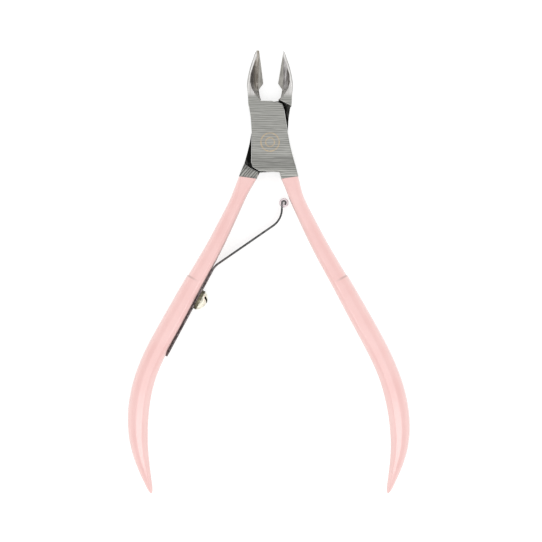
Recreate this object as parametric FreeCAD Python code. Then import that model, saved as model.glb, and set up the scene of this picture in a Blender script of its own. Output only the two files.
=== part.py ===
import FreeCAD, Part
import math
import os
from FreeCAD import Vector

# Cuticle nipper with a lap joint, in millimetres, lying flat with its jaws towards +Y.
# Z = 0 is the rear face of the joint, and the Z axis is the pivot. The front lever has the
# left-hand jaw and the right-hand handle; the rear lever is nearly its mirror image in X, with
# the lap plate in the rear half of the thickness. The jaws stand open, as the spring holds them.

FRONT = 1
REAR = -1

# Joint
joint_thickness = 5.4
mid_plane = joint_thickness / 2
lap_gap = 0.04
plate_chamfer = 0.15
rivet_radius = 2.0
rivet_head_radius = 2.6
rivet_head_depth = 0.5
rivet_clearance = 0.03

# Lap plate of the front lever, clockwise from its top left corner to the handle's inner side
PLATE_TOP = [(-2.30, 9.15), (0.50, 9.15), (2.30, 8.74), (3.29, 8.32)]
PLATE_RIGHT = [(3.78, 6.76), (4.61, 1.60), (5.27, -2.03), (5.79, -4.16), (6.60, -7.10)]
PLATE_BOTTOM = [(2.55, -9.30), (-2.87, -8.98), (-4.50, -7.95)]
PLATE_LEFT = [(-4.75, -6.84), (-4.67, 0.62), (-4.93, 4.76), (-5.33, 7.35), (-5.46, 8.20)]

# Shoulder walls, where the lever steps from its lap plate to its full thickness
JAW_WALL = [(-6.60, 7.18), (-2.25, 9.48)]
SHANK_WALL = [(6.62, -7.15), (4.64, -8.42), (2.90, -9.24)]
seat_drop = 0.15
SEAT_TAPER = (-8.6, -10.4, -12.5)

# Jaw: half the angle between the open cutting edges, how far the edges and the ground flats
# behind them are turned to the right of the middle, and the heel and neck
half_opening = 8.0
edge_turn = 1.1
jaw_heel = 13.75
jaw_tip = 22.30
NECK = [(-2.60, 9.90), (-2.80, 10.70), (-3.05, 12.20)]
OUTSIDE_JAW = [(-4.20, 22.30), (-7.50, 18.00)]

# Jaw envelope at places along Y: outer side, rear face, front face, rounding of the outer side.
# The rear lever's jaw is a little wider
JAW_SECTIONS = [
    (6.00, 5.30, 0.00, 5.40, 0.20),
    (7.82, 5.46, 0.00, 5.40, 0.20),
    (9.64, 5.62, 0.00, 5.40, 0.22),
    (11.46, 5.74, 0.02, 5.38, 0.50),
    (13.28, 5.87, 0.10, 5.25, 0.95),
    (15.10, 5.67, 0.36, 4.96, 1.10),
    (16.92, 5.30, 0.70, 4.57, 1.08),
    (18.74, 4.80, 1.07, 4.15, 1.00),
    (20.56, 4.17, 1.52, 3.63, 0.80),
    (22.38, 3.33, 2.12, 2.98, 0.38),
]
JAW_EXTRA = {FRONT: 0.0, REAR: 0.16}
envelope_inner = 1.0
envelope_inner_rounding = 0.1

# Hollow ground into the jaw's front, at places along Y: rim and its height, then the foot of
# the steep wall and its height, from which the cutting bevel falls towards the edge
HOLLOW_SECTIONS = [
    (9.40, 2.60, 5.50, 2.20, 4.90),
    (10.20, 3.26, 5.45, 2.75, 4.20),
    (11.20, 3.95, 5.42, 3.05, 3.40),
    (12.30, 4.62, 5.40, 3.25, 2.75),
    (14.00, 5.06, 5.20, 3.25, 2.30),
    (16.00, 4.95, 4.80, 3.22, 2.29),
    (17.70, 4.55, 4.45, 3.20, 2.33),
    (19.40, 3.85, 4.02, 3.20, 2.38),
    (20.80, 3.40, 3.60, 3.20, 2.45),
    (22.60, 3.35, 3.10, 3.28, 2.54),
]
bevel_fall = 0.38
hollow_reach = 3.0
hollow_above = 2.6

# Flat ground on the jaw's rear face, at places along Y: its outer limit, how far it rises from
# there to the cutting edge, and the height it reaches at the edge
REAR_BEVEL = [
    (11.50, 3.09, 1.30, 1.40),
    (13.75, 3.17, 1.30, 1.60),
    (18.00, 3.31, 1.30, 1.87),
    (22.70, 3.47, 0.90, 2.26),
]
bevel_overrun = 1.0

# Handle of the front lever, without its lean: X, Y, width, depth, rounding outside and inside.
# Towards the tips the inner corners flatten from a quarter circle to a facet between two creases
HANDLE = [
    (4.95, -9.30, 4.45, 5.20, 1.00, 0.70),
    (5.47, -10.70, 4.38, 5.30, 1.10, 0.80),
    (6.12, -12.25, 4.12, 5.34, 1.30, 0.90),
    (7.36, -15.40, 3.72, 5.26, 1.60, 1.00),
    (8.72, -18.50, 3.70, 5.16, 1.75, 1.10),
    (10.22, -21.60, 3.88, 5.12, 1.90, 1.20),
    (13.33, -27.80, 4.20, 5.16, 2.05, 1.20),
    (18.55, -37.10, 4.62, 5.22, 2.20, 1.25),
    (22.35, -43.95, 4.95, 5.28, 2.30, 1.30),
    (25.52, -49.70, 5.14, 5.34, 2.35, 1.40),
    (30.95, -60.60, 5.20, 5.36, 2.40, 1.40),
    (32.88, -66.80, 5.38, 5.36, 2.40, 1.50),
    (33.67, -71.50, 5.38, 5.24, 2.35, 1.50),
    (33.93, -76.20, 5.10, 4.96, 2.20, 1.50),
    (33.58, -80.90, 4.36, 4.40, 1.95, 1.40),
    (32.62, -85.55, 3.20, 3.56, 1.50, 1.10),
    (31.28, -90.20, 1.74, 2.20, 0.82, 0.72),
    (30.86, -91.60, 1.12, 1.44, 0.52, 0.50),
    (30.64, -92.35, 0.44, 0.60, 0.20, 0.20),
]
handle_lean = 0.6
LEAN_STARTS = (6.0, 17.0)
LEAN_ENDS = (58.0, 86.0)
FACET_STARTS = (50.0, 66.0)
facet_bulge = 0.3
grip_station = 7
GRIP_STEP_ENDS = (55.0, 80.0)
grip_step = 0.2
coating = 0.3
coating_tilt = 8.0
least_core_width = 0.12
least_core_depth = 0.2
least_rounding = 0.05
block_size = 120.0

# Leaf spring, its line seen from the front; its long run lies on the rear lever's handle
leaf_thickness = 0.5
leaf_width = 4.4
leaf_tip_width = 3.4
LEAF_END = (-26.78, -56.95)
LEAF_BEND = (-14.29, -33.62)
LEAF_CORNER = (3.08, -21.55)
leaf_bend_radius = 5.0
leaf_upper_radius = 5.3
flex_share = 0.36
flex_gap = 0.1
flex_radius = leaf_thickness / 2
ARM_TAPER = (-32.0, -26.0, -20.0, -12.0)

# Spring screw: a slotted dome head on the leaf, and its shank in the handle
screw_distance = 16.95
screw_head_radius = 2.65
screw_head_height = 2.5
screw_rim = 0.6
screw_slot_width = 0.7
screw_slot_depth = 1.2
screw_shank_radius = 1.0
screw_shank_length = 3.6
screw_slot_turn = -35.0

# Roller in the forked tip of the leaf
ROLLER_CENTRE = (3.68, -17.20)
roller_radius = 1.2
roller_length = 2.2
roller_side_gap = 0.06
roller_edge = 0.15
slot_clearance = 0.3
curl_sweep = 250.0
pin_radius = 0.35
pin_length = 3.6
pin_clearance = 0.04


def place(points, side):
    return [(side * x, y) for x, y in points]


def prism(points, low, high):
    corners = [Vector(x, y, low) for x, y in points]
    face = Part.Face(Part.makePolygon(corners + corners[:1]))
    return face.extrude(Vector(0, 0, high - low))


def section(centre, across, width, depth, outer_rounding, inner_rounding, inner_bulge=1.0):
    """A rectangle rounded at its outer corners by quarter circles and at its inner corners by
    arcs that bulge less, down to a flat facet at an inner_bulge of 0."""
    arcs = []
    for turn in (0, 90, 180, 270):
        outside = turn in (0, 270)
        radius = outer_rounding if outside else inner_rounding
        bulge = 1.0 if outside else inner_bulge
        sideways = (width / 2 - radius) * (1 if outside else -1)
        upwards = (depth / 2 - radius) * (1 if turn < 180 else -1)
        middle = centre + across * sideways + Vector(0, 0, upwards)
        chord = math.cos(math.radians(45))
        reaches = (radius, radius * (chord + (1 - chord) * bulge), radius)
        rim = [middle + across * (reach * math.cos(math.radians(turn + part)))
               + Vector(0, 0, reach * math.sin(math.radians(turn + part)))
               for part, reach in zip((0, 45, 90), reaches)]
        arcs.append(rim)
    edges = []
    for index, rim in enumerate(arcs):
        edges.append(Part.Arc(*rim).toShape())
        edges.append(Part.makeLine(rim[2], arcs[(index + 1) % 4][0]))
    return Part.Wire(edges)


def smooth_step(value):
    bounded = min(max(value, 0.0), 1.0)
    return bounded * bounded * (3 - 2 * bounded)


def share_along(y, stretch):
    """0 before a stretch of the handle, 1 after it and a smooth rise between; Y is negative."""
    start, end = stretch
    return smooth_step((-y - start) / (end - start))


def lean_at(y):
    """Both handles are set a little to the left between the joint and the grips."""
    return handle_lean * share_along(y, LEAN_STARTS) * (1 - share_along(y, LEAN_ENDS))


def handle_stations(side, step=0.0):
    """Centre, outward direction and section sizes at each place along one handle."""
    centres = [Vector(side * row[0] - lean_at(row[1]), row[1], mid_plane) for row in HANDLE]
    stations = []
    for index, (_, y, width, depth, outer_rounding, inner_rounding) in enumerate(HANDLE):
        before = centres[max(index - 1, 0)]
        after = centres[min(index + 1, len(HANDLE) - 1)]
        along = (after - before).normalize()
        outward = Vector(-along.y * side, along.x * side, 0)
        extra = step * (1 - share_along(y, GRIP_STEP_ENDS))
        bulge = 1 - (1 - facet_bulge) * share_along(y, FACET_STARTS)
        stations.append((centres[index] + outward * extra / 2, outward, width + extra, depth,
                         outer_rounding, inner_rounding, bulge))
    return stations


def handle_loft(stations, inset):
    wires = []
    for centre, outward, width, depth, outer_rounding, inner_rounding, bulge in stations:
        inner_width = max(width - 2 * inset, least_core_width)
        inner_depth = max(depth - 2 * inset, least_core_depth)
        roundings = [max(value - inset, least_rounding) for value in (outer_rounding, inner_rounding)]
        wires.append(section(centre, outward, inner_width, inner_depth, *roundings, bulge))
    return Part.makeLoft(wires, True, False)


def seat_line(side):
    """Inner and outer end of the line where the coating starts, on the shank."""
    centre, outward, width = handle_stations(side)[1][:3]
    tilt = math.radians(coating_tilt)
    across = Vector(side * math.cos(tilt), math.sin(tilt), 0)
    reach = width / 2 / across.dot(outward)
    return centre - across * reach, centre + across * reach, across


def half_space(centre, across, beyond):
    """A large block on one side of an upright plane."""
    low = centre - across * (block_size / 2)
    high = centre + across * (block_size / 2)
    corners = [low, high, high + beyond * block_size, low + beyond * block_size]
    return prism([(corner.x, corner.y) for corner in corners], -joint_thickness, 2 * joint_thickness)


def grip_plane(side):
    """The plane across the handle where the thicker grip starts."""
    centre, outward = handle_stations(side)[grip_station][:2]
    return centre, outward, Vector(-outward.y, outward.x, 0) * side


def lap_plate(side):
    inner, outer = seat_line(side)[:2]
    shank = [(side * outer.x, outer.y), (side * inner.x, inner.y)]
    outline = PLATE_TOP + PLATE_RIGHT + shank + PLATE_BOTTOM + PLATE_LEFT + NECK[:1]
    if side == FRONT:
        low, high = mid_plane + lap_gap / 2, joint_thickness
    else:
        low, high = 0, mid_plane - lap_gap / 2
    plate = prism(place(outline, side), low, high)
    face_height = high if side == FRONT else low
    rim = [edge for edge in plate.Edges if edge_lies_at(edge, face_height)]
    return plate.makeChamfer(plate_chamfer, rim)


def edge_lies_at(edge, height):
    return all(abs(vertex.Z - height) < 1e-6 for vertex in edge.Vertexes)


def shank_block(side):
    """Full thickness from the lower shoulder wall to where the coating starts."""
    inner, outer = seat_line(side)[:2]
    points = place(SHANK_WALL, side) + [(inner.x, inner.y), (outer.x, outer.y)]
    return prism(points, 0, joint_thickness)


def seat_taper():
    """Side view of both levers: the shank loses a little depth before the coating."""
    starts, ends, cut_off = SEAT_TAPER
    lower = [(cut_off, seat_drop), (ends, seat_drop), (starts, 0), (block_size, 0)]
    outline = lower + [(y, joint_thickness - z) for y, z in reversed(lower)]
    return side_view_block(outline)


def side_view_block(outline):
    """A wide block whose outline is given along Y and Z."""
    corners = [Vector(-block_size / 2, y, z) for y, z in outline]
    face = Part.Face(Part.makePolygon(corners + corners[:1]))
    return face.extrude(Vector(block_size, 0, 0))


def edge_slope(side):
    """How far the cutting edge lies from the middle, for each millimetre along Y."""
    return math.tan(math.radians(half_opening - side * edge_turn))


def turned_right(x, y, side):
    """Distance from the middle of a place behind the cutting edge."""
    return x - side * y * math.tan(math.radians(edge_turn))


def jaw_outline(side):
    """Plan of the jaw: neck, heel, straight cutting edge and a line outside it."""
    neck = [(-turned_right(-x, y, side), y) for x, y in NECK]
    edge = [(-y * edge_slope(side), y) for y in (jaw_heel, jaw_tip)]
    return JAW_WALL + neck + edge + OUTSIDE_JAW


def jaw_envelope(side):
    wires = []
    for y, outer, low, high, rounding in JAW_SECTIONS:
        outer += JAW_EXTRA[side]
        centre = Vector(-side * (outer + envelope_inner) / 2, y, (low + high) / 2)
        wires.append(section(centre, Vector(-side, 0, 0), outer - envelope_inner, high - low,
                             rounding, envelope_inner_rounding))
    return Part.makeLoft(wires, True, False)


def hollow_tool(side):
    """The wheel-ground hollow: a steep wall under the rim, then the cutting bevel."""
    top = joint_thickness + hollow_above
    wires = []
    for y, rim, rim_height, foot, foot_height in HOLLOW_SECTIONS:
        rim += JAW_EXTRA[side]
        foot = turned_right(foot, y, side)
        lean = (foot - rim) / (foot_height - rim_height)
        beyond = foot - hollow_reach
        profile = [(rim + lean * (top - rim_height), top), (foot, foot_height),
                   (beyond, foot_height - bevel_fall * (foot - beyond)), (beyond, top)]
        corners = [Vector(-side * x, y, z) for x, z in profile]
        wires.append(Part.makePolygon(corners + corners[:1]))
    return Part.makeLoft(wires, True, True)


def rear_bevel_tool(side):
    """The flat ground on the jaw's rear face, up to the land of the cutting edge."""
    wires = []
    for y, start, rise, height in REAR_BEVEL:
        start = turned_right(start, y, side)
        edge = y * edge_slope(side)
        beyond = edge - bevel_overrun
        steepness = rise / (start - edge)
        profile = [(start, height - rise), (beyond, height + bevel_overrun * steepness),
                   (beyond, -bevel_overrun), (start, -bevel_overrun)]
        corners = [Vector(-side * x, y, z) for x, z in profile]
        wires.append(Part.makePolygon(corners + corners[:1]))
    return Part.makeLoft(wires, True, True)


def jaw(side):
    blank = prism(place(jaw_outline(side), side), -1, joint_thickness + 1)
    body = jaw_envelope(side).common(blank)
    return body.cut(hollow_tool(side)).cut(rear_bevel_tool(side))


def rivet_form(extra):
    """The pivot rivet, spread at both ends and ground flush; extra is added to its radius."""
    shank = rivet_radius + extra
    head = rivet_head_radius + extra
    profile = [(0, 0), (head, 0), (shank, rivet_head_depth),
               (shank, joint_thickness - rivet_head_depth), (head, joint_thickness), (0, joint_thickness)]
    corners = [Vector(x, 0, z) for x, z in profile]
    face = Part.Face(Part.makePolygon(corners + corners[:1]))
    return face.revolve(Vector(0, 0, 0), Vector(0, 0, 1), 360)


def lever(side):
    steel = lap_plate(side).fuse([jaw(side), shank_block(side)])
    steel = steel.common(seat_taper())
    steel = steel.fuse(handle_loft(handle_stations(side), coating))
    return steel.cut(rivet_form(rivet_clearance)).removeSplitter()


def handle_coating(side, steel):
    """The pink coat: thicker by a small step from the grip down, and hollow round the steel."""
    inner, outer, across = seat_line(side)
    centre, outward, upwards = grip_plane(side)
    upper = handle_loft(handle_stations(side), 0).common(half_space(centre, outward, upwards))
    lower = handle_loft(handle_stations(side, grip_step), 0).cut(half_space(centre, outward, upwards))
    coat = upper.fuse(lower).cut(half_space(inner, across, Vector(-across.y, across.x, 0) * side))
    return coat.cut(steel)


def point(x, y):
    return Vector(x, y, mid_plane)


def direction(start, end):
    return (point(*end) - point(*start)).normalize()


def flex_point():
    """Where the stand-in hinge of the spring lies, on its free straight run."""
    start = point(*LEAF_BEND)
    return start + (point(*LEAF_CORNER) - start) * flex_share


def rounded_run(points, radii):
    """Straight runs joined by tangent arcs, one radius for each inner point."""
    edges = []
    start = points[0]
    for index, radius in enumerate(radii):
        corner = points[index + 1]
        back = (points[index] - corner).normalize()
        onward = (points[index + 2] - corner).normalize()
        half = back.getAngle(onward) / 2
        first = corner + back * (radius / math.tan(half))
        last = corner + onward * (radius / math.tan(half))
        middle = corner + (back + onward).normalize() * (radius / math.sin(half) - radius)
        edges.append(Part.makeLine(start, first))
        edges.append(Part.Arc(first, middle, last).toShape())
        start = last
    edges.append(Part.makeLine(start, points[-1]))
    return edges


def strip(edges):
    """A strip of the leaf's full width and thickness along a run in plan."""
    path = Part.Wire(edges)
    start = edges[0].valueAt(edges[0].FirstParameter)
    along = edges[0].tangentAt(edges[0].FirstParameter)
    across = Vector(-along.y, along.x, 0) * (leaf_thickness / 2)
    up = Vector(0, 0, leaf_width / 2)
    corners = [start + across + up, start - across + up, start - across - up, start + across - up]
    profile = Part.makePolygon(corners + corners[:1])
    return path.makePipeShell([profile], True, False)


def leaf_normal():
    """Away from the handle, out of the leaf's screwed run."""
    along = direction(LEAF_END, LEAF_BEND)
    return Vector(along.y, -along.x, 0)


def screw_foot():
    """Where the screw's head meets the leaf."""
    along = direction(LEAF_END, LEAF_BEND)
    return point(*LEAF_END) + along * screw_distance + leaf_normal() * (leaf_thickness / 2)


def half_round_end():
    """The leaf's outline at its screwed end, as a tool across its thickness."""
    along = direction(LEAF_END, LEAF_BEND)
    normal = leaf_normal()
    centre = point(*LEAF_END) + along * (leaf_width / 2)
    depth = 4 * leaf_width
    disc = Part.makeCylinder(leaf_width / 2, depth, centre - normal * (depth / 2), normal)
    rest = Part.makeBox(block_size, block_size, depth)
    rotation = FreeCAD.Rotation(Vector(0, 0, 1), math.degrees(math.atan2(along.y, along.x)))
    middle = rotation.multVec(Vector(0, block_size / 2, depth / 2))
    rest.Placement = FreeCAD.Placement(centre - middle, rotation)
    return disc.fuse(rest)


def spring_base():
    """The leaf from its screwed end, over the bend, to the stand-in hinge."""
    corners = [point(*LEAF_END), point(*LEAF_BEND), flex_point()]
    body = strip(rounded_run(corners, [leaf_bend_radius]))
    bottom = Vector(0, 0, -mid_plane)
    clearance = Part.makeCylinder(flex_radius + flex_gap, 2 * joint_thickness, flex_point() + bottom)
    below = leaf_normal() * (2 * leaf_thickness)
    hole = Part.makeCylinder(screw_shank_radius, 4 * leaf_thickness, screw_foot() - below, leaf_normal())
    return body.common(half_round_end()).cut([clearance, hole])


def arm_taper():
    """Front view of the leaf's free arm, drawn along Y: it narrows towards the roller."""
    wide = leaf_width / 2
    narrow = leaf_tip_width / 2
    below, starts, ends, above = ARM_TAPER
    half = [(below, wide), (starts, wide), (ends, narrow), (above, narrow)]
    outline = half + [(y, -z) for y, z in reversed(half)]
    return side_view_block([(y, mid_plane + z) for y, z in outline])


def spring_arm():
    """The leaf from the stand-in hinge to its forked tip, which curls round the roller's pin."""
    pin = point(*ROLLER_CENTRE)
    curl = pin_radius + leaf_thickness / 2
    run = rounded_run([flex_point(), point(*LEAF_CORNER), pin - Vector(curl, 0, 0)], [leaf_upper_radius])
    half_way = math.radians(180 - curl_sweep / 2)
    end_way = math.radians(180 - curl_sweep)
    middle = pin + Vector(math.cos(half_way), math.sin(half_way), 0) * curl
    end = pin + Vector(math.cos(end_way), math.sin(end_way), 0) * curl
    run.append(Part.Arc(pin - Vector(curl, 0, 0), middle, end).toShape())
    bottom = Vector(0, 0, -leaf_width / 2)
    rounding = Part.makeCylinder(flex_radius, leaf_width, flex_point() + bottom)
    slot_length = roller_length + 2 * roller_side_gap
    slot = Part.makeCylinder(roller_radius + slot_clearance, slot_length, pin - Vector(0, 0, slot_length / 2))
    bore = Part.makeCylinder(pin_radius, pin_length, pin - Vector(0, 0, pin_length / 2))
    return strip(run).fuse(rounding).common(arm_taper()).cut([slot, bore])


def spring_screw():
    normal = leaf_normal()
    foot = screw_foot()
    rim = Part.makeCylinder(screw_head_radius, screw_rim, foot, normal)
    rise = screw_head_height - screw_rim
    ball_radius = (screw_head_radius ** 2 + rise ** 2) / (2 * rise)
    ball = Part.makeSphere(ball_radius, foot + normal * (screw_head_height - ball_radius))
    column = Part.makeCylinder(screw_head_radius, rise, foot + normal * screw_rim, normal)
    head = rim.fuse(ball.common(column))
    slot = Part.makeBox(screw_slot_depth, screw_slot_width, 4 * screw_head_radius)
    corner = Vector(0, -screw_slot_width / 2, -2 * screw_head_radius)
    upright = FreeCAD.Rotation(Vector(1, 0, 0), normal)
    rotation = FreeCAD.Rotation(normal, screw_slot_turn).multiply(upright)
    slot.Placement = FreeCAD.Placement(
        foot + normal * (screw_head_height - screw_slot_depth) + rotation.multVec(corner), rotation)
    return head.cut(slot).fuse(screw_shank())


def screw_shank():
    length = leaf_thickness + screw_shank_length
    end = screw_foot() - leaf_normal() * length
    return Part.makeCylinder(screw_shank_radius, length, end, leaf_normal())


def roller():
    start = point(*ROLLER_CENTRE) - Vector(0, 0, roller_length / 2)
    body = Part.makeCylinder(roller_radius, roller_length, start)
    body = body.makeFillet(roller_edge, [edge for edge in body.Edges if len(edge.Vertexes) == 1])
    return body.cut(Part.makeCylinder(pin_radius + pin_clearance, roller_length, start))


def roller_pin():
    start = point(*ROLLER_CENTRE) - Vector(0, 0, pin_length / 2)
    return Part.makeCylinder(pin_radius, pin_length, start)


def save(name, shape):
    shape.exportStep("parts/" + name + ".step")
    print(name, shape.isValid(), len(shape.Solids), round(shape.Volume, 2))


os.makedirs("parts", exist_ok=True)
front_lever = lever(FRONT)
rear_lever = lever(REAR).cut(screw_shank())
save("front_lever", front_lever)
save("rear_lever", rear_lever)
save("front_handle_coating", handle_coating(FRONT, front_lever))
save("rear_handle_coating", handle_coating(REAR, rear_lever).cut(screw_shank()))
save("pivot_rivet", rivet_form(0))
save("spring_base", spring_base())
save("spring_arm", spring_arm())
save("spring_screw", spring_screw())
save("roller", roller())
save("roller_pin", roller_pin())
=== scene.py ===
import math

import bmesh
import bpy
import numpy as np
from mathutils import Matrix, Vector


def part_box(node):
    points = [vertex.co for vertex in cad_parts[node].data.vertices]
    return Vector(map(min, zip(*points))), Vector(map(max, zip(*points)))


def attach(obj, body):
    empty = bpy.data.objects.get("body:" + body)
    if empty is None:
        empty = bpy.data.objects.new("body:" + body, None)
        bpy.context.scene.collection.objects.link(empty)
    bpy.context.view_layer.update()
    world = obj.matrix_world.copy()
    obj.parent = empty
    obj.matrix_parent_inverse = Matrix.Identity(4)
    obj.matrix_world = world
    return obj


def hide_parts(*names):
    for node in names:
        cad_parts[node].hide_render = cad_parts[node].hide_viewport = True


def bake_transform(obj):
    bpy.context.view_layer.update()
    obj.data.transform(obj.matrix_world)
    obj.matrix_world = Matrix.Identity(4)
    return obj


# Cuticle nipper, lying flat with its jaws towards +Y and its front face up. The scene is in
# metres; lengths and places named here are in millimetres, and MM turns them into metres.
# Angles named here are in degrees. A band is where something starts and where it ends.
MM = 0.001

# Camera: straight above the object, far away, with a long lens
VIEW_CENTRE = (0.35, -34.84)
view_width = 140.9
camera_lens = 200.0
camera_sensor = 36.0
camera_near = 50.0
camera_far = 10000.0

# Studio: the glowing floor, the sky's greys, and the key light
floor_size = 4000.0
floor_drop = 0.02
floor_grey = 0.45
floor_glow = 0.72
floor_roughness = 0.9
sky_zenith = 0.80
sky_horizon = 1.5
sky_blend = 0.6
KEY_BOX = (0.0, -240.0, 900.0)
KEY_SIZE = (420.0, 260.0)
key_power = 1.15

# Joint: heights of the front face and of the lap, and the place of the front mark
face_height = 5.4
lap_height = 2.7
lap_reach = 0.35
MARK_CENTRE = (0.1, -1.56)
MARK_RADII = (2.35, 1.15)
mark_line = 0.2

# Levers: how the visible head is smoothed, where along Y its surfaces change, the hollow's rim
# as pairs of Y and distance from the middle, and the ridge beside the cutting edge
head_end = -13.2
core_overlap = 0.3
head_voxel = 0.1
head_softening = 3
SOFTENING_STEPS = (0.5, -0.52)
rear_jaw_extra = 0.16
jaw_start = 9.3
JAW_WALL_BAND = (6.7, 9.9)
SHANK_WALL_BAND = (-9.6, -6.8)
HOLLOW_RIM = ((9.4, 2.6), (11.2, 3.95), (12.3, 4.62), (14.0, 5.06),
              (16.0, 4.95), (19.4, 3.85), (20.4, 3.3))
ridge_distance = 3.22
edge_turn = 1.1
join_distance = 0.001

# Levers: how far a face turns towards Y or Z, as a part of its unit normal, to get each finish
lap_facing = 0.7
wall_facing = 0.5
hollow_facing = 0.08
bevel_facing = 0.8

# Levers: their finishes, the bands along Y where one look fades into the next, the bands from the middle
# outwards over which shade is painted in each hollow, the brushing, and each shank's share of light
STEEL, RECESS, HOLLOW, BEVEL = range(4)
POLISH_BAND = (9.9, 11.6)
SHANK_BAND = (-4.0, -6.0)
ROUGH_HOLLOW_BAND = (13.6, 11.4)
FRONT_SHADE_BAND = (3.3, 4.5)
REAR_SHADE_BAND = (4.2, 4.9)
brush_density = 0.66
shank_brush_turn = -50.0
shank_brush_density = 0.5
# Each share scales its shank's brushed colours: painted shade.
front_shank_share = 0.85
rear_shank_share = 0.6

# Handles: the step where the grip starts, its slant from level, and the shade painted in its crease
handle_lean = 0.6
GRIP_START = (18.55, -37.1)
grip_slant = 29.2
CREASE_SHADE_BAND = (0.08, 0.42)
CREASE_SHADE_FADE = (-1.4, 1.8)
crease_shade_strength = 0.5

# Pivot rivet: spread at both ends, and ground into the front face so that it doesn't show there
rivet_head_radius = 2.6
rivet_radius = 2.0
rivet_head_depth = 0.5
rivet_cover = 0.15
rivet_edge = 0.06

# Leaf spring: its middle line in plan, as bent, its sizes, and where it turns brown
LEAF_END = (-26.78, -56.95)
LEAF_BEND = (-14.29, -33.62)
leaf_corner_height = -21.55
leaf_bend_radius = 5.0
leaf_upper_radius = 5.3
leaf_width = 4.4
leaf_tip_width = 3.4
leaf_thickness = 0.5
leaf_tip_thickness = 0.32
LEAF_NARROWS = (-26.0, -20.0)
LEAF_BROWN_BAND = (-28.0, -38.0)
leaf_spacing = 0.6
leaf_rounding = 0.07
leaf_bevel_angle = 50.0
tip_thins = 1.6
slot_reach = 1.5
slot_width = 2.32
inner_share = 0.6
curl_sweep = 250.0
curl_steps = 20
arc_steps = 10
END_ANGLES = range(10, 91, 10)

# Spring screw and roller pin, turned about their axes
screw_distance = 16.95
screw_radius = 2.65
screw_height = 2.5
screw_rim = 0.85
screw_shank_radius = 1.0
screw_shank_length = 4.1
screw_slot_width = 0.7
screw_slot_depth = 1.2
screw_slot_turn = -35.0
screw_edge = 0.08
screw_dome_steps = 14
screw_bevel_angle = 35.0
POLISHED, SLOT, KNURLED = range(3)
knurl_depth = 0.18
tooth_steps = 3
pin_dome = 0.12
pin_dome_steps = 4
turn_steps = 96
ORIGIN = Vector((0, 0, 0))
UP = Vector((0, 0, 1))

# Colours, as linear red, green and blue. A pair goes from its dark to its light.
ENAMEL_COLOURS = ((0.90, 0.55, 0.522), (0.93, 0.60, 0.572))
# The enamel's side colour is painted shade on its steep sides.
ENAMEL_SIDE_SHADE_COLOUR = (0.77, 0.545, 0.515)
# The crease colour is painted shade.
CREASE_SHADE_COLOUR = (0.42, 0.30, 0.27)
PLATE_COLOURS = ((0.235, 0.235, 0.221), (0.40, 0.40, 0.377))
SHANK_COLOURS = ((0.25, 0.25, 0.235), (0.37, 0.37, 0.348))
# A painted highlight on the steel's edges.
EDGE_HIGHLIGHT_COLOUR = (0.64, 0.64, 0.62)
JAW_TOP_COLOURS = ((0.66, 0.64, 0.62), (0.88, 0.865, 0.85))
# The jaw sides' darker steel is painted shade.
JAW_SIDE_SHADE_COLOURS = ((0.26, 0.255, 0.245), (0.44, 0.43, 0.415))
MARK_COLOUR = (0.56, 0.42, 0.25)
RECESS_COLOURS = ((0.008, 0.008, 0.007), (0.05, 0.05, 0.047))
FRONT_HOLLOW_COLOURS = ((0.29, 0.255, 0.21), (0.54, 0.505, 0.46))
REAR_HOLLOW_COLOURS = ((0.26, 0.245, 0.24), (0.60, 0.58, 0.58))
ROUGH_HOLLOW_COLOURS = ((0.10, 0.095, 0.085), (0.26, 0.245, 0.22))
# Painted shade under the hollow's rim.
UNDER_RIM_SHADE_COLOURS = ((0.10, 0.09, 0.08), (0.19, 0.175, 0.165))
BEVEL_COLOUR = (0.45, 0.435, 0.40)
RIVET_COLOUR = (0.42, 0.42, 0.40)
LEAF_GREYS = ((0.05, 0.05, 0.05), (0.125, 0.125, 0.125))
LEAF_BROWNS = ((0.045, 0.032, 0.032), (0.20, 0.165, 0.165))
SCREW_COLOUR = (0.80, 0.765, 0.65)
# The slot's near-black colour is painted shade.
SLOT_SHADE_COLOUR = (0.05, 0.045, 0.03)
KNURLED_COLOUR = (0.20, 0.183, 0.125)
PIN_COLOUR = (0.62, 0.58, 0.58)
ROLLER_COLOUR = (0.66, 0.57, 0.59)

# The part of a noise's range that is spread over a whole change: softly, and with more contrast
GRAIN_BAND = (0.3, 0.7)
STREAK_BAND = (0.35, 0.65)

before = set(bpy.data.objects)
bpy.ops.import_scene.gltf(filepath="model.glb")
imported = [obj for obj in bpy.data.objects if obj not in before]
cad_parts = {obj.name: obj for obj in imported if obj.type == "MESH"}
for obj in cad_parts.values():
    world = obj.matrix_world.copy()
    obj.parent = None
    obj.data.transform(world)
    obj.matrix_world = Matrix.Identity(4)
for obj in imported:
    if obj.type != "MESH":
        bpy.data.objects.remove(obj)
bpy.context.view_layer.update()


# ---------------------------------------------------------------- shader helpers

def new_material(name, metallic=0.0):
    material = bpy.data.materials.new(name)
    material.use_nodes = True
    tree = material.node_tree
    shader = tree.nodes["Principled BSDF"]
    shader.inputs["Metallic"].default_value = metallic
    return material, tree, shader


def node(tree, kind, **settings):
    made = tree.nodes.new(kind)
    for key, value in settings.items():
        setattr(made, key, value)
    return made


def feed(tree, socket, value):
    """Links another node's output to a socket, or sets the socket to a number or a colour."""
    if isinstance(value, bpy.types.NodeSocket):
        tree.links.new(value, socket)
    elif isinstance(value, tuple) and socket.type == "RGBA":
        socket.default_value = (*value, 1)
    else:
        socket.default_value = value


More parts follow.
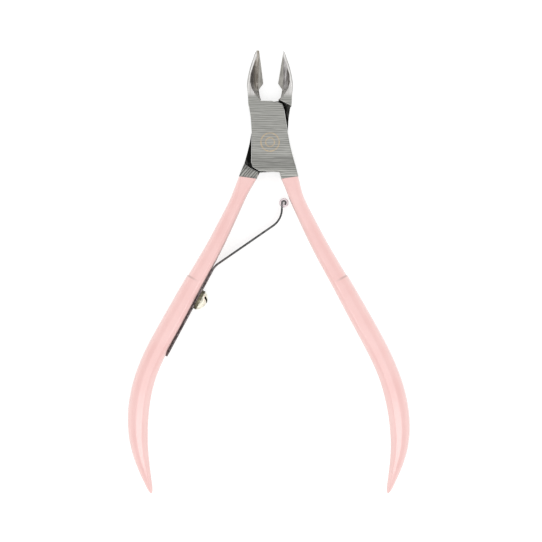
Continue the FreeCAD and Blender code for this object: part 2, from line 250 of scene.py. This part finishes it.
def millimetres(tree, scale=(1, 1, 1), turn=0.0):
    """The place on the piece in millimetres, turned about Z in degrees and then scaled."""
    place = node(tree, "ShaderNodeTexCoord").outputs["Object"]
    turned = node(tree, "ShaderNodeMapping", vector_type="POINT")
    feed(tree, turned.inputs["Vector"], place)
    turned.inputs["Rotation"].default_value = (0, 0, math.radians(turn))
    scaled = node(tree, "ShaderNodeMapping", vector_type="POINT")
    feed(tree, scaled.inputs["Vector"], turned.outputs["Vector"])
    scaled.inputs["Scale"].default_value = [value / MM for value in scale]
    return scaled.outputs["Vector"]


def along(tree, axis):
    split = node(tree, "ShaderNodeSeparateXYZ")
    feed(tree, split.inputs["Vector"], millimetres(tree))
    return split.outputs[axis]


def height_of_normal(tree):
    """1 where the surface faces straight up, 0 where it is upright, -1 where it faces down."""
    split = node(tree, "ShaderNodeSeparateXYZ")
    feed(tree, split.inputs["Vector"], node(tree, "ShaderNodeTexCoord").outputs["Normal"])
    return split.outputs["Z"]


def noise(tree, scale, turn=0.0, detail=3.0, roughness=0.55):
    made = node(tree, "ShaderNodeTexNoise")
    feed(tree, made.inputs["Vector"], millimetres(tree, scale, turn))
    made.inputs["Scale"].default_value = 1.0
    made.inputs["Detail"].default_value = detail
    made.inputs["Roughness"].default_value = roughness
    return made.outputs["Fac"]


def remap(tree, value, low, high, new_low=0.0, new_high=1.0):
    made = node(tree, "ShaderNodeMapRange", interpolation_type="SMOOTHSTEP")
    for name, given in zip(("Value", "From Min", "From Max", "To Min", "To Max"),
                           (value, low, high, new_low, new_high)):
        feed(tree, made.inputs[name], given)
    return made.outputs["Result"]


def arithmetic(tree, operation, first, second):
    made = node(tree, "ShaderNodeMath", operation=operation)
    feed(tree, made.inputs[0], first)
    feed(tree, made.inputs[1], second)
    return made.outputs["Value"]


def absolute(tree, value):
    return arithmetic(tree, "ABSOLUTE", value, 0.0)


def mix(tree, factor, first, second, kind="RGBA"):
    made = node(tree, "ShaderNodeMix", data_type=kind)
    sockets = [socket for socket in made.inputs if socket.enabled]
    for socket, value in zip(sockets, (factor, first, second)):
        feed(tree, socket, value)
    return next(socket for socket in made.outputs if socket.enabled)


def streak_mask(tree, scale, detail=3.0, band=STREAK_BAND):
    """Soft patches between 0 and 1, drawn out along an axis where the scale is small."""
    return remap(tree, noise(tree, scale, detail=detail), *band)


def bump(tree, shader, height, depth):
    """Bump of a depth in millimetres."""
    made = node(tree, "ShaderNodeBump")
    made.inputs["Distance"].default_value = depth * MM
    feed(tree, made.inputs["Height"], height)
    feed(tree, shader.inputs["Normal"], made.outputs["Normal"])


def shaded(colour, share):
    return tuple(share * value for value in colour)


# ---------------------------------------------------------------- materials
# The scale of a noise is its repeats to a millimetre along X, Y and Z.

def grip_crease_shade(tree):
    """1 where shade is painted in the crease where each handle steps out to its grip, fading towards the
    inner side.
    """
    place = node(tree, "ShaderNodeSeparateXYZ")
    feed(tree, place.inputs["Vector"], millimetres(tree))
    from_middle = absolute(tree, arithmetic(tree, "ADD", place.outputs["X"], handle_lean))
    aside = arithmetic(tree, "SUBTRACT", from_middle, GRIP_START[0])
    down = arithmetic(tree, "SUBTRACT", GRIP_START[1], place.outputs["Y"])
    slant = math.radians(grip_slant)
    past = arithmetic(tree, "ADD", arithmetic(tree, "MULTIPLY", aside, math.sin(slant)),
                      arithmetic(tree, "MULTIPLY", down, math.cos(slant)))
    outward = arithmetic(tree, "SUBTRACT", arithmetic(tree, "MULTIPLY", aside, math.cos(slant)),
                         arithmetic(tree, "MULTIPLY", down, math.sin(slant)))
    narrow = remap(tree, absolute(tree, past), *CREASE_SHADE_BAND, 1.0, 0.0)
    return arithmetic(tree, "MULTIPLY", narrow, remap(tree, outward, *CREASE_SHADE_FADE))


def pink_enamel():
    """Half-gloss pink, with painted shade on its steep sides and in the crease at the grip."""
    material, tree, shader = new_material("pink_enamel")
    clouds = noise(tree, (0.12, 0.12, 0.12))
    sideways = remap(tree, height_of_normal(tree), 1.0, 0.4, 0.0, 0.75)
    # Painted shade darkens the crease at the grip step.
    crease_shade = arithmetic(tree, "MULTIPLY", grip_crease_shade(tree), crease_shade_strength)
    colour = mix(tree, remap(tree, clouds, *GRAIN_BAND), *ENAMEL_COLOURS)
    # Painted shade: steep sides turn a greyer pink.
    colour = mix(tree, sideways, colour, ENAMEL_SIDE_SHADE_COLOUR)
    feed(tree, shader.inputs["Base Color"], mix(tree, crease_shade, colour, CREASE_SHADE_COLOUR))
    feed(tree, shader.inputs["Roughness"], remap(tree, clouds, *GRAIN_BAND, 0.30, 0.38))
    shader.inputs["Coat Weight"].default_value = 1.0
    shader.inputs["Coat IOR"].default_value = 1.55
    shader.inputs["Coat Roughness"].default_value = 0.2
    shader.inputs["Sheen Weight"].default_value = 0.3
    shader.inputs["Sheen Roughness"].default_value = 0.3
    bump(tree, shader, noise(tree, (1.1, 1.1, 1.1), detail=2.0), 0.004)
    return material


def brush_lines(tree, turn, density):
    """Uneven lines, 0.31 mm over the density apart, with finer scratches between them."""
    wave = node(tree, "ShaderNodeTexWave", bands_direction="Y")
    feed(tree, wave.inputs["Vector"], millimetres(tree, (0.05, density, 0.1), turn))
    for name, value in (("Scale", 1.0), ("Distortion", 4.5), ("Detail", 2.0), ("Detail Scale", 3.0)):
        feed(tree, wave.inputs[name], value)
    scratches = noise(tree, (0.2, 9.0, 1.0), turn, roughness=0.6)
    return mix(tree, 0.4, scratches, wave.outputs["Fac"], "FLOAT")


def ring_mask(tree):
    """1 on the two thin rings marked on the front face."""
    offset = node(tree, "ShaderNodeVectorMath", operation="SUBTRACT")
    feed(tree, offset.inputs[0], millimetres(tree))
    offset.inputs[1].default_value = (*MARK_CENTRE, face_height)
    distance = node(tree, "ShaderNodeVectorMath", operation="LENGTH")
    feed(tree, distance.inputs[0], offset.outputs["Vector"])
    masks = []
    for radius in MARK_RADII:
        away = absolute(tree, arithmetic(tree, "SUBTRACT", distance.outputs["Value"], radius))
        masks.append(remap(tree, away, mark_line / 2, mark_line, 1.0, 0.0))
    return arithmetic(tree, "MAXIMUM", *masks)


def brushed_colour(tree, lines, on_shank, shank_share):
    """The colour of the brushed plate and shank, darker on the shank by painted shade and paler on the
    edges by a painted highlight.
    """
    plate_dark, plate_light = PLATE_COLOURS
    shank_dark, shank_light = SHANK_COLOURS
    # The shank's colours are scaled by its share of light: painted shade.
    dark = mix(tree, on_shank, plate_dark, shaded(shank_dark, shank_share ** 2))
    light = mix(tree, on_shank, plate_light, shaded(shank_light, shank_share))
    upward = height_of_normal(tree)
    # Painted highlight: edges that half face up turn paler.
    edge_highlight = arithmetic(tree, "MULTIPLY", remap(tree, upward, 0.15, 0.4), remap(tree, upward, 0.9, 0.8))
    brushed = mix(tree, remap(tree, lines, *GRAIN_BAND), dark, light)
    return mix(tree, edge_highlight, brushed, EDGE_HIGHLIGHT_COLOUR)


def polished_colour(tree, facing_up):
    """The jaw's colour: bright on top, and satin with painted shade on its sides."""
    top = mix(tree, streak_mask(tree, (1.6, 0.12, 0.8), 2.0), *JAW_TOP_COLOURS)
    # Painted shade: the jaw's sides are darker than its top.
    side = mix(tree, streak_mask(tree, (0.5, 0.3, 5.0)), *JAW_SIDE_SHADE_COLOURS)
    return mix(tree, facing_up, side, top)


def lever_steel(name, shank_turn, shank_density, shank_share, marked=False):
    """Ground steel brushed across the joint and its own way on the shank, and polished on the jaw."""
    material, tree, shader = new_material(name, 1.0)
    on_shank = remap(tree, along(tree, "Y"), *SHANK_BAND)
    lines = mix(tree, on_shank, brush_lines(tree, 0.0, brush_density),
                brush_lines(tree, shank_turn, shank_density), "FLOAT")
    polished = remap(tree, along(tree, "Y"), *POLISH_BAND)
    facing_up = remap(tree, height_of_normal(tree), 0.45, 0.95)
    colour = mix(tree, polished, brushed_colour(tree, lines, on_shank, shank_share),
                 polished_colour(tree, facing_up))
    if marked:
        worn = remap(tree, noise(tree, (2.0, 2.0, 2.0)), *STREAK_BAND, 0.3, 0.8)
        marked_here = arithmetic(tree, "MULTIPLY", ring_mask(tree), worn)
        colour = mix(tree, marked_here, colour, MARK_COLOUR)
    feed(tree, shader.inputs["Base Color"], colour)
    rough = remap(tree, lines, *STREAK_BAND, 0.46, 0.34)
    gloss = remap(tree, facing_up, 0.0, 1.0, 0.36, 0.2)
    feed(tree, shader.inputs["Roughness"], mix(tree, polished, rough, gloss, "FLOAT"))
    bump(tree, shader, mix(tree, polished, lines, 0.5, "FLOAT"), 0.005)
    return material


def plain_steel(name, colour, roughness, scale=(1.2, 1.2, 1.2), depth=0.0):
    """Bare metal whose colour and gloss vary a little, in a grain where the scale is uneven."""
    material, tree, shader = new_material(name, 1.0)
    grain = noise(tree, scale, detail=4.0)
    spread = remap(tree, grain, *GRAIN_BAND)
    tones = mix(tree, spread, shaded(colour, 0.72), shaded(colour, 1.12))
    feed(tree, shader.inputs["Base Color"], tones)
    gloss = remap(tree, grain, *GRAIN_BAND, roughness * 1.2, roughness * 0.85)
    feed(tree, shader.inputs["Roughness"], gloss)
    if depth:
        bump(tree, shader, grain, depth)
    return material


def hollow_steel(name, colours, shade):
    """The wall of the hollow ground into a jaw. Shade is painted on it outwards over the band shade,
    under the rim, and it is rougher and mottled towards its lower end."""
    material, tree, shader = new_material(name, 1.0)
    streaks = streak_mask(tree, (2.6, 0.4, 1.2))
    under_rim_shade = remap(tree, absolute(tree, along(tree, "X")), *shade)
    mottles = streak_mask(tree, (1.8, 1.8, 1.8), band=(0.38, 0.62))
    lower_end = remap(tree, along(tree, "Y"), *ROUGH_HOLLOW_BAND)
    rough_wall = mix(tree, mottles, *ROUGH_HOLLOW_COLOURS)
    lit = mix(tree, lower_end, mix(tree, streaks, *colours), rough_wall)
    # Painted shade under the hollow's rim.
    dark = mix(tree, streaks, *UNDER_RIM_SHADE_COLOURS)
    feed(tree, shader.inputs["Base Color"], mix(tree, under_rim_shade, lit, dark))
    feed(tree, shader.inputs["Roughness"], remap(tree, streaks, 0.0, 1.0, 0.38, 0.26))
    bump(tree, shader, streaks, 0.01)
    return material


def recess_steel():
    """Near-black steel, with greyer patches."""
    material, tree, shader = new_material("recess_black", 1.0)
    patches = streak_mask(tree, (0.7, 0.35, 0.7), 4.0, (0.42, 0.62))
    feed(tree, shader.inputs["Base Color"], mix(tree, patches, *RECESS_COLOURS))
    feed(tree, shader.inputs["Roughness"], remap(tree, patches, 0.0, 1.0, 0.6, 0.42))
    bump(tree, shader, noise(tree, (4.0, 4.0, 4.0)), 0.006)
    return material


def leaf_steel():
    """Spring steel: grey on its free run, and browner from its heat treatment below the bend."""
    material, tree, shader = new_material("leaf_steel", 1.0)
    grain = noise(tree, (1.5, 1.5, 5.0), detail=4.0)
    spread = remap(tree, grain, *GRAIN_BAND)
    grey = mix(tree, spread, *LEAF_GREYS)
    brown = mix(tree, spread, *LEAF_BROWNS)
    low_down = remap(tree, along(tree, "Y"), *LEAF_BROWN_BAND)
    feed(tree, shader.inputs["Base Color"], mix(tree, low_down, grey, brown))
    feed(tree, shader.inputs["Roughness"], remap(tree, grain, *GRAIN_BAND, 0.45, 0.32))
    bump(tree, shader, grain, 0.008)
    return material


# ---------------------------------------------------------------- mesh helpers

def new_object(name, mesh):
    made = bpy.data.objects.new(name, mesh)
    bpy.context.collection.objects.link(made)
    return made


def as_mesh(made, name):
    mesh = bpy.data.meshes.new(name)
    made.to_mesh(mesh)
    made.free()
    return mesh


def cad_copy(name):
    """A CAD node's mesh as a bmesh in millimetres, with its doubled points joined."""
    made = bmesh.new()
    made.from_mesh(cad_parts[name].data)
    bmesh.ops.scale(made, vec=Vector((1, 1, 1)) / MM, verts=made.verts)
    bmesh.ops.remove_doubles(made, verts=made.verts, dist=join_distance)
    return made


def cut_off(made, level, keep_above):
    """Keeps what lies above, or below, a level along Y, and closes the cut."""
    everything = made.verts[:] + made.edges[:] + made.faces[:]
    cut = bmesh.ops.bisect_plane(made, geom=everything, plane_co=(0, level, 0),
                                 plane_no=(0, 1 if keep_above else -1, 0), clear_inner=True)
    rim = [part for part in cut["geom_cut"] if isinstance(part, bmesh.types.BMEdge)]
    bmesh.ops.edgeloop_fill(made, edges=rim)


def with_modifiers(mesh, *settings):
    """The mesh after modifiers, each given as its kind and its values."""
    holder = new_object("holder", mesh)
    for kind, values in settings:
        modifier = holder.modifiers.new(kind, kind)
        for key, value in values.items():
            setattr(modifier, key, value)
    graph = bpy.context.evaluated_depsgraph_get()
    made = bpy.data.meshes.new_from_object(holder.evaluated_get(graph))
    bpy.data.objects.remove(holder)
    return made


def edge_bevel(width, angle):
    """A modifier's settings that round off the edges sharper than an angle in degrees."""
    return ("BEVEL", {"width": width, "segments": 2, "limit_method": "ANGLE",
                      "angle_limit": math.radians(angle), "harden_normals": True})


def read(items, key, width, kind=float):
    values = np.empty(len(items) * width, kind)
    items.foreach_get(key, values)
    return values.reshape(-1, width)


def soften(mesh, rounds, low, high):
    """Rounds off steps and edges: points move towards their neighbours, and then back. None
    leaves the box from low to high."""
    points = read(mesh.vertices, "co", 3)
    ends = read(mesh.edges, "vertices", 2, np.int32)
    count = len(points)
    degree = np.bincount(ends.ravel(), minlength=count)[:, None]
    for step in SOFTENING_STEPS * rounds:
        total = np.empty_like(points)
        for axis in range(3):
            total[:, axis] = (np.bincount(ends[:, 0], points[ends[:, 1], axis], count)
                              + np.bincount(ends[:, 1], points[ends[:, 0], axis], count))
        points += step * (total / degree - points)
    mesh.vertices.foreach_set("co", np.clip(points, low, high).ravel())
    mesh.update()


def finished(name, mesh, body, slot, *replaced):
    """A piece made in millimetres, scaled to metres and fastened to its body. A piece given no body
    stays unfastened."""
    mesh.shade_smooth()
    mesh.transform(Matrix.Scale(MM, 4))
    made = new_object(name, mesh)
    if body:
        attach(made, body)
    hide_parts(*replaced)
    return made


# ---------------------------------------------------------------- levers

def rivet_plug():
    """What closes the front lever's rivet hole flush with its face."""
    radius = rivet_head_radius + rivet_edge
    profile = [(0, face_height - rivet_head_depth), (radius, face_height - rivet_head_depth),
               (radius, face_height), (0, face_height)]
    return as_mesh(turned_mesh(profile, ORIGIN, UP), "rivet_plug")


def lever_mesh(name, side):
    """The CAD lever with the fine rounded edges of ground steel. Its core, which the coating
    hides, stays as it is."""
    head = cad_copy(name)
    if side > 0:
        head.from_mesh(rivet_plug())
    cut_off(head, head_end, True)
    remesh = {"mode": "VOXEL", "voxel_size": head_voxel}
    fine = with_modifiers(as_mesh(head, name), ("REMESH", remesh))
    low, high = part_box(name)
    soften(fine, head_softening, low / MM, high / MM)
    core = cad_copy(name)
    cut_off(core, head_end + core_overlap, False)
    core.from_mesh(fine)
    return as_mesh(core, name)


def within(values, band):
    return (values > band[0]) & (values < band[1])


def lever_finishes(mesh, side):
    """The finish of each face. The front lever has side 1 and its jaw at negative X; the rear
    lever has side -1, its jaw at positive X and its lap facing up."""
    points = read(mesh.polygons, "center", 3)
    normals = read(mesh.polygons, "normal", 3)
    x, y, z = points.T
    outwards = -x * side
    forward, upward = normals[:, 1], normals[:, 2]
    on_lap = (np.abs(z - lap_height) < lap_reach) & (upward * side < -lap_facing) & (y < jaw_start)
    beyond_lap = (lap_height - z) * side > lap_reach / 2
    jaw_wall = (forward < -wall_facing) & within(y, JAW_WALL_BAND)
    shank_wall = (forward > wall_facing) & within(y, SHANK_WALL_BAND)
    rim = np.interp(y, *zip(*HOLLOW_RIM)) + (rear_jaw_extra if side < 0 else 0)
    in_hollow = (y > jaw_start) & (upward > hollow_facing) & (outwards < rim)
    ridge = ridge_distance - side * y * math.tan(math.radians(edge_turn))
    finish = np.full(len(y), STEEL)
    finish[on_lap | beyond_lap & (jaw_wall | shank_wall)] = RECESS
    finish[in_hollow] = HOLLOW
    finish[in_hollow & (outwards < ridge) & (upward > bevel_facing)] = BEVEL
    return finish


def lever(name, body, side, finishes):
    """A lever with its finishes, which are in the order STEEL, RECESS, HOLLOW, BEVEL."""
    mesh = lever_mesh(name, side)
    for material in finishes:
        mesh.materials.append(material)
    mesh.polygons.foreach_set("material_index", lever_finishes(mesh, side))
    finished(name + "_ground", mesh, body, "lever_steel", name)


# ---------------------------------------------------------------- leaf spring

def arc_run(before, corner, after, radius):
    """Points round a corner in plan, on the arc that touches both runs."""
    back = (before - corner).normalized()
    onward = (after - corner).normalized()
    half = back.angle(onward) / 2
    centre = corner + (back + onward).normalized() * (radius / math.sin(half))
    first = corner + back * (radius / math.tan(half)) - centre
    turn = (math.pi - 2 * half) * (-1 if back.cross(onward) > 0 else 1)
    return [centre + turned(first, turn * step / arc_steps) for step in range(arc_steps + 1)]


def turned(vector, angle):
    cosine, sine = math.cos(angle), math.sin(angle)
    return Vector((vector.x * cosine - vector.y * sine, vector.x * sine + vector.y * cosine))


def straight_run(start, end, spacing):
    """Points between two ends, without the ends."""
    count = max(round((end - start).length / spacing), 1)
    return [start.lerp(end, step / count) for step in range(1, count)]


def pin_centre():
    low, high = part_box("roller_pin")
    return ((low + high) / 2 / MM).xy, (high - low).x / 2 / MM


def leaf_line():
    """The leaf's middle line in plan: screwed end, bend, corner, and the curl round the pin."""
    end, bend = Vector(LEAF_END), Vector(LEAF_BEND)
    pin, pin_radius = pin_centre()
    top = pin - Vector((pin_radius + leaf_tip_thickness / 2, 0))
    corner = Vector((top.x, leaf_corner_height))
    length = (bend - end).length
    rounded_end = [end.lerp(bend, leaf_width / 2 * (1 - math.cos(math.radians(angle))) / length)
                   for angle in END_ANGLES]
    lower = arc_run(end, bend, corner, leaf_bend_radius)
    upper = arc_run(bend, corner, top, leaf_upper_radius)
    curl = [pin + turned(top - pin, -math.radians(curl_sweep) * step / curl_steps)
            for step in range(curl_steps + 1)]
    return (rounded_end + straight_run(rounded_end[-1], lower[0], leaf_spacing) + lower
            + straight_run(lower[-1], upper[0], leaf_spacing) + upper
            + straight_run(upper[-1], top, leaf_spacing / 3) + curl)


def leaf_station(line, index, pin):
    """The eight corners across the leaf at one point of its line: two sides by four heights."""
    here = line[index]
    tangent = (line[min(index + 1, len(line) - 1)] - line[max(index - 1, 0)]).normalized()
    normal = Vector((-tangent.y, tangent.x))
    from_end = (here - Vector(LEAF_END)).length
    half = leaf_width / 2
    if from_end < half:
        half = math.sqrt(half ** 2 - (half - from_end) ** 2)
    start, end = LEAF_NARROWS
    share = min(max((here.y - start) / (end - start), 0), 1)
    half -= share * (leaf_width - leaf_tip_width) / 2
    near_tip = min(max(1 - (here - pin).length / tip_thins, 0), 1)
    thickness = leaf_thickness + (leaf_tip_thickness - leaf_thickness) * near_tip ** 0.5
    inner = min(slot_width / 2, half * inner_share)
    heights = [lap_height + offset for offset in (-half, -inner, inner, half)]
    return [[(*(here + normal * offset), height) for height in heights]
            for offset in (-thickness / 2, thickness / 2)]


def leaf_faces(made, near, far, is_forked):
    """The faces between two stations, without the middle column where the leaf is forked."""
    for column in ((0, 2) if is_forked else (0, 1, 2)):
        for side in (0, 1):
            face = [near[side][column], far[side][column],
                    far[side][column + 1], near[side][column + 1]]
            made.faces.new(face if side else face[::-1])
    for height in ((0, 1, 2, 3) if is_forked else (0, 3)):
        face = [near[0][height], far[0][height], far[1][height], near[1][height]]
        made.faces.new(face if height in (0, 2) else face[::-1])


def leaf_mesh():
    """One strip, with a fork whose two tines curl round the pin on either side of the roller."""
    line = leaf_line()
    pin = pin_centre()[0]
    made = bmesh.new()
    rows = [[[made.verts.new(corner) for corner in side] for side in leaf_station(line, index, pin)]
            for index in range(len(line))]
    forked = [(point - pin).length < slot_reach for point in line]
    for near, far, is_forked in zip(rows, rows[1:], forked):
        leaf_faces(made, near, far, is_forked)
    ends = ((rows[0], (0, 1, 2)), (rows[-1], (0, 2)), (rows[forked.index(True)], (1,)))
    for (left, right), columns in ends:
        for column in columns:
            made.faces.new([left[column], right[column], right[column + 1], left[column + 1]])
    loose = [vertex for vertex in made.verts if not vertex.link_faces]
    bmesh.ops.delete(made, geom=loose, context="VERTS")
    bmesh.ops.recalc_face_normals(made, faces=made.faces)
    return with_modifiers(as_mesh(made, "leaf_spring"), edge_bevel(leaf_rounding, leaf_bevel_angle))


def leaf_spring(material):
    """The leaf, one piece in place of the spring's base and arm, with no body of its own."""
    mesh = leaf_mesh()
    mesh.materials.append(material)
    made = finished("leaf_spring", mesh, None, "spring_steel", "spring_base", "spring_arm")
    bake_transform(made)


# ---------------------------------------------------------------- turned pieces

def turned_mesh(profile, foot, axis, knurled=()):
    """A solid turned about an axis. The profile is (radius, distance along the axis) from one
    end's middle to the other's. Rings whose distance is in knurled get small teeth."""
    made = bmesh.new()
    sideways = axis.orthogonal().normalized()
    across = axis.cross(sideways)
    angles = [2 * math.pi * step / turn_steps for step in range(turn_steps)]
    spokes = [sideways * math.cos(angle) + across * math.sin(angle) for angle in angles]
    rings = []
    for radius, height in profile[1:-1]:
        depth = knurl_depth if height in knurled else 0.0
        reaches = [radius - depth * (step // tooth_steps % 2) for step in range(turn_steps)]
        rings.append([made.verts.new(foot + axis * height + spoke * reach)
                      for spoke, reach in zip(spokes, reaches)])
    for ring, next_ring in zip(rings, rings[1:]):
        for step in range(turn_steps):
            after = (step + 1) % turn_steps
            made.faces.new([ring[step], ring[after], next_ring[after], next_ring[step]])
    for ring, end in ((rings[0], profile[0]), (rings[-1], profile[-1])):
        middle = made.verts.new(foot + axis * end[1])
        for step in range(turn_steps):
            made.faces.new([ring[step], ring[(step + 1) % turn_steps], middle])
    bmesh.ops.recalc_face_normals(made, faces=made.faces)
    return made


def dome(radius, rise, base, steps):
    """Profile points of a dome, from its rim to its top."""
    ball = (radius ** 2 + rise ** 2) / (2 * rise)
    widest = math.asin(min(radius / ball, 1.0))
    if rise > ball:
        widest = math.pi - widest
    angles = [widest * (1 - step / steps) for step in range(steps + 1)]
    return [(ball * math.sin(angle), base + rise - ball + ball * math.cos(angle))
            for angle in angles]


def box_object(name, size, matrix):
    made = bmesh.new()
    bmesh.ops.create_cube(made, size=1.0, matrix=matrix @ Matrix.Diagonal((*size, 1)))
    return new_object(name, as_mesh(made, name))


def screw_body(foot, axis):
    """The screw's shank, its knurled rim and its dome, before the slot is cut."""
    rim = (screw_edge, screw_rim - screw_edge)
    profile = [(0, -screw_shank_length), (screw_shank_radius, -screw_shank_length),
               (screw_shank_radius, 0), (screw_radius - screw_edge, 0),
               (screw_radius, rim[0]), (screw_radius, rim[1])]
    profile += dome(screw_radius - screw_edge / 2, screw_height - screw_rim, screw_rim, screw_dome_steps)
    return as_mesh(turned_mesh(profile, foot, axis, rim), "spring_screw_body")


def slot_cutter(foot, axis):
    """The block that cuts the slot into the top of the dome."""
    upright = axis.to_track_quat("X", "Z").to_matrix().to_4x4()
    turn = Matrix.Rotation(math.radians(screw_slot_turn), 4, axis) @ upright
    top = Matrix.Translation(foot + axis * screw_height)
    return box_object("slot", (2 * screw_slot_depth, screw_slot_width, 4 * screw_radius), top @ turn)


def spring_screw(materials):
    """A slotted dome screw, its head on the leaf. Its materials are in the order POLISHED, SLOT,
    KNURLED, and the slot's near-black colour is painted shade."""
    end, bend = Vector(LEAF_END), Vector(LEAF_BEND)
    run = (bend - end).normalized()
    axis = Vector((run.y, -run.x, 0))
    foot = Vector((*(end + run * screw_distance), lap_height)) + axis * (leaf_thickness / 2)
    body = screw_body(foot, axis)
    cutter = slot_cutter(foot, axis)
    for mesh in (body, cutter.data):
        for material in materials:
            mesh.materials.append(material)
    for face in cutter.data.polygons:
        face.material_index = SLOT
    for face in body.polygons:
        below_dome = axis.dot(face.center - foot) < screw_rim - screw_edge / 2
        face.material_index = KNURLED if below_dome else POLISHED
    cut = ("BOOLEAN", {"object": cutter, "operation": "DIFFERENCE", "solver": "EXACT"})
    mesh = with_modifiers(body, cut, edge_bevel(screw_edge / 2, screw_bevel_angle))
    bpy.data.objects.remove(cutter)
    finished("slotted_spring_screw", mesh, "rear_half", "screw_steel", "spring_screw")


def roller_pin(material):
    """The roller's pin, with slightly domed ends."""
    low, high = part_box("roller_pin")
    radius = (high - low).x / 2 / MM
    half = (high - low).z / 2 / MM
    rise = dome(radius, pin_dome, half - pin_dome, pin_dome_steps)
    profile = [(distance, -height) for distance, height in reversed(rise)] + rise
    mesh = as_mesh(turned_mesh(profile, (low + high) / 2 / MM, UP), "roller_pin")
    mesh.materials.append(material)
    finished("domed_roller_pin", mesh, "spring_arm", "spring_steel", "roller_pin")


def ground_rivet(material):
    """The pivot rivet, its rear end in the rear lever's face."""
    top = face_height - rivet_cover
    profile = [(0, 0), (rivet_head_radius - rivet_edge, 0), (rivet_head_radius, rivet_edge),
               (rivet_radius, rivet_head_depth), (rivet_radius, top), (0, top)]
    mesh = as_mesh(turned_mesh(profile, ORIGIN, UP), "ground_rivet")
    mesh.materials.append(material)
    finished("ground_rivet", mesh, "front_half", "rivet_steel", "pivot_rivet")


# ---------------------------------------------------------------- studio

def sky():
    """Grey light, brightest from the horizon."""
    world = bpy.data.worlds.new("studio")
    bpy.context.scene.world = world
    world.use_nodes = True
    tree = world.node_tree
    split = node(tree, "ShaderNodeSeparateXYZ")
    feed(tree, split.inputs["Vector"], node(tree, "ShaderNodeTexCoord").outputs["Generated"])
    height = remap(tree, split.outputs["Z"], 0.0, sky_blend)
    grey = mix(tree, height, (sky_horizon,) * 3, (sky_zenith,) * 3)
    feed(tree, tree.nodes["Background"].inputs["Color"], grey)


def floor():
    """A large white sheet that glows a little, just under the object."""
    half = floor_size / 2 * MM
    mesh = bpy.data.meshes.new("floor")
    corners = [(-half, -half), (half, -half), (half, half), (-half, half)]
    mesh.from_pydata([(x, y, -floor_drop * MM) for x, y in corners], [], [(0, 1, 2, 3)])
    material, tree, shader = new_material("floor_white")
    feed(tree, shader.inputs["Base Color"], (floor_grey,) * 3)
    shader.inputs["Roughness"].default_value = floor_roughness
    shader.inputs["Emission Color"].default_value = (1, 1, 1, 1)
    shader.inputs["Emission Strength"].default_value = floor_glow
    mesh.materials.append(material)
    new_object("floor", mesh)


def soft_box(name, place, size, power):
    """A rectangle of light that faces the middle of the object."""
    light = bpy.data.lights.new(name, "AREA")
    light.shape = "RECTANGLE"
    light.size, light.size_y = (length * MM for length in size)
    light.energy = power
    made = new_object(name, light)
    made.location = Vector(place) * MM
    aim = Vector((*VIEW_CENTRE, 0)) * MM - made.location
    made.rotation_euler = aim.to_track_quat("-Z", "Y").to_euler()


def camera():
    data = bpy.data.cameras.new("camera")
    data.lens = camera_lens
    data.sensor_width = camera_sensor
    data.clip_start = camera_near * MM
    data.clip_end = camera_far * MM
    made = new_object("camera", data)
    made.location = Vector((*VIEW_CENTRE, view_width * camera_lens / camera_sensor)) * MM
    bpy.context.scene.camera = made


def finish_cad_node(name, material):
    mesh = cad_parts[name].data
    mesh.materials.clear()
    mesh.materials.append(material)


bpy.context.scene.view_settings.view_transform = "Standard"
camera()
sky()
floor()
soft_box("key_box", KEY_BOX, KEY_SIZE, key_power)

recess = recess_steel()
front_hollow = hollow_steel("front_hollow", FRONT_HOLLOW_COLOURS, FRONT_SHADE_BAND)
rear_hollow = hollow_steel("rear_hollow", REAR_HOLLOW_COLOURS, REAR_SHADE_BAND)
bevel = plain_steel("bevel_ground", BEVEL_COLOUR, 0.30, (2.5, 0.45, 1.0), depth=0.008)
front_steel = lever_steel("front_lever_steel", 0.0, brush_density, front_shank_share, marked=True)
rear_steel = lever_steel("rear_lever_steel", shank_brush_turn, shank_brush_density, rear_shank_share)
lever("front_lever", "front_half", 1, (front_steel, recess, front_hollow, bevel))
lever("rear_lever", "rear_half", -1, (rear_steel, recess, rear_hollow, bevel))
leaf_spring(leaf_steel())
ground_rivet(plain_steel("rivet_steel", RIVET_COLOUR, 0.30, (0.3, 5.0, 1.0), depth=0.006))
spring_screw((plain_steel("polished_screw", SCREW_COLOUR, 0.15, (1.1, 1.1, 1.1)),
              # The slot is near black: painted shade.
              plain_steel("screw_slot", SLOT_SHADE_COLOUR, 0.5),
              plain_steel("knurled_rim", KNURLED_COLOUR, 0.3, (3.0, 3.0, 3.0))))
roller_pin(plain_steel("pin_steel", PIN_COLOUR, 0.2))

enamel = pink_enamel()
finish_cad_node("front_handle_coating", enamel)
finish_cad_node("rear_handle_coating", enamel)
finish_cad_node("roller", plain_steel("roller_steel", ROLLER_COLOUR, 0.3))

bpy.context.view_layer.update()
